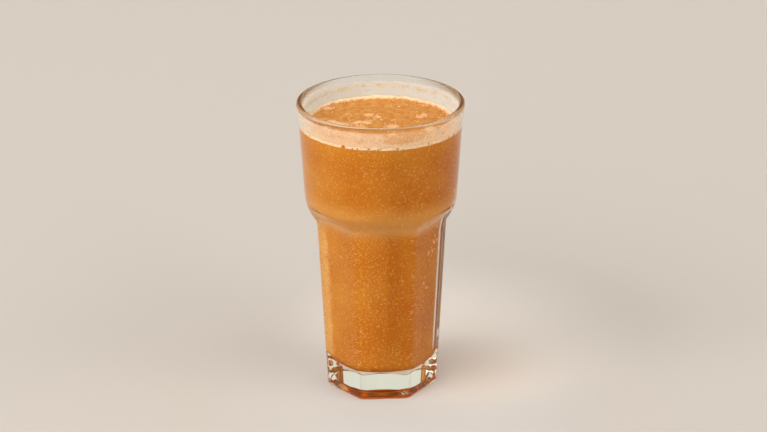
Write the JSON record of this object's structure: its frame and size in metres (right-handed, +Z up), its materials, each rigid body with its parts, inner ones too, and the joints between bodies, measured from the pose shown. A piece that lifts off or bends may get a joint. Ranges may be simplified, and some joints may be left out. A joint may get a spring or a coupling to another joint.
{
  "type": "glass of carrot juice",
  "caption": "Tall faceted glass tumbler with a round bowl above a flat-sided stem, filled nearly to the lip with orange carrot juice and ringed with pale froth.",
  "frame": {"origin": "on the axis, in the plane of the foot", "axes": "+Z up along the axis of the tumbler; the middle of one facet of the stem faces -Y"},
  "size_m": [0.077, 0.077, 0.14],
  "materials": {
    "glass": "clear, smooth, pressed glass",
    "juice": "cloudy orange juice with a wet surface",
    "froth": "fine pale froth"
  },
  "bodies": {
    "root": {"glass": "glass", "juice": "juice", "froth": "froth"}
  },
  "joints": []
}
